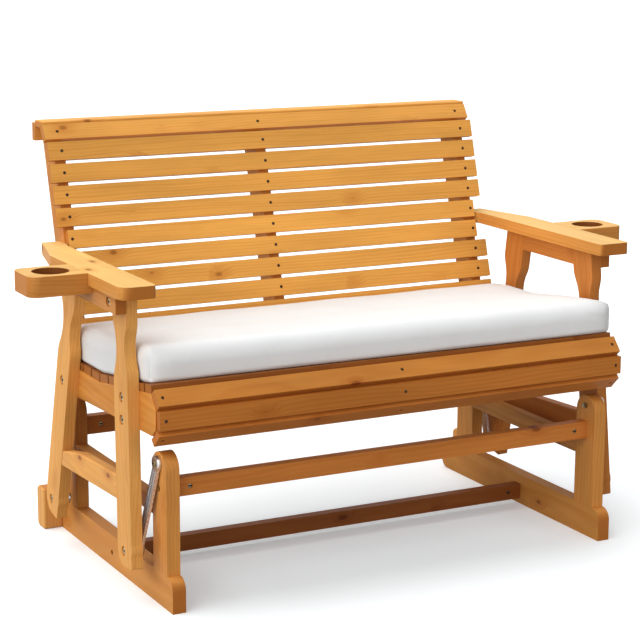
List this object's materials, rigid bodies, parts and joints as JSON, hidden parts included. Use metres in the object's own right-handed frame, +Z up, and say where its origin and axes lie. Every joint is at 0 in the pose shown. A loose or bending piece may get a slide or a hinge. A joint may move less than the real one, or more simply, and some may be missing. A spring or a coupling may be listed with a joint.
{
  "type": "glider bench",
  "caption": "Slatted wooden glider bench with a seat cushion and arm-side cup holders, its seat unit hung on swinging metal links from a standing base.",
  "frame": {"origin": "on the floor, at the middle of the footprint", "axes": "+Z up, -Y towards the front where a sitter's feet are, +X along the bench, to the right of someone who looks at its front"},
  "size_m": [1.403, 0.7118, 0.8858],
  "materials": {
    "wood": "satin stained softwood",
    "light_wood": "satin stained softwood",
    "link_steel": "zinc plated",
    "bolt_steel": "zinc plated",
    "screw_steel": "dull",
    "cushion_cloth": "plain weave"
  },
  "bodies": {
    "base": {"runner_right": "wood", "runner_left": "wood", "front_upright_right": "wood", "front_upright_left": "wood", "rear_upright_right": "wood", "rear_upright_left": "wood", "base_rail_right": "wood", "base_rail_left": "wood", "foot_block_right": "wood", "foot_block_left": "wood", "front_stretcher": "wood", "rear_stretcher": "wood", "low_stretcher": "wood", "stretcher_bolts": "bolt_steel", "barrel_nuts": "bolt_steel", "upper_pivot_bolts": "bolt_steel"},
    "link_front_left": {"front_link_left": "link_steel"},
    "link_front_right": {"front_link_right": "link_steel"},
    "link_rear_left": {"rear_link_left": "link_steel"},
    "link_rear_right": {"rear_link_right": "link_steel"},
    "seat": {"lower_pivot_bolts": "bolt_steel", "front_leg_right": "light_wood", "front_leg_left": "light_wood", "rear_leg_right": "light_wood", "rear_leg_left": "light_wood", "leg_rail_right": "wood", "leg_rail_left": "wood", "arm_right": "light_wood", "arm_left": "light_wood", "arm_rail_right": "light_wood", "arm_rail_left": "light_wood", "apron_right": "wood", "apron_left": "wood", "cup_holder_right": "light_wood", "cup_holder_left": "light_wood", "side_rail_right": "wood", "side_rail_left": "wood", "middle_rail": "wood", "seat_slats": "light_wood", "nose_board_upper": "light_wood", "nose_board_middle": "light_wood", "nose_board_lower": "light_wood", "back_slat_1": "light_wood", "back_slat_2": "light_wood", "back_slat_3": "light_wood", "back_slat_4": "light_wood", "back_slat_5": "light_wood", "back_slat_6": "light_wood", "back_slat_7": "light_wood", "back_slat_8": "light_wood", "back_slat_9": "light_wood", "crest_front_board": "light_wood", "crest_cap": "light_wood", "crest_rear_board": "light_wood", "slat_screws": "screw_steel", "support_right": "wood", "support_middle": "wood", "support_left": "wood", "frame_bolts": "bolt_steel", "cushion": "cushion_cloth"}
  },
  "joints": [
    {"name": "swing", "type": "hinge", "parent": "base", "child": "link_front_left", "pos_m": [-0.52, -0.296, 0.289], "axis": [1, 0, 0], "range_deg": [-15, 14]},
    {"name": "seat_pivot", "type": "hinge", "parent": "link_front_left", "child": "seat", "pos_m": [-0.54, -0.23985, 0.10184], "axis": [1, 0, 0], "range_deg": [-16.9, 18.1]},
    {"name": "front_right_pivot", "type": "hinge", "parent": "base", "child": "link_front_right", "pos_m": [0.52, -0.296, 0.289], "axis": [1, 0, 0], "range_deg": [-15.2, 14.2]},
    {"name": "rear_left_pivot", "type": "hinge", "parent": "base", "child": "link_rear_left", "pos_m": [-0.52, 0.1945, 0.289], "axis": [1, 0, 0], "range_deg": [-14.6, 13.6]},
    {"name": "rear_right_pivot", "type": "hinge", "parent": "base", "child": "link_rear_right", "pos_m": [0.52, 0.1945, 0.289], "axis": [1, 0, 0], "range_deg": [-14.6, 13.6]}
  ],
  "couplings": [
    {"joint": "seat_pivot", "follows": "swing", "ratio": -1.1938},
    {"joint": "front_right_pivot", "follows": "swing", "ratio": 1},
    {"joint": "rear_left_pivot", "follows": "swing", "ratio": 0.9627},
    {"joint": "rear_right_pivot", "follows": "swing", "ratio": 0.9627}
  ]
}
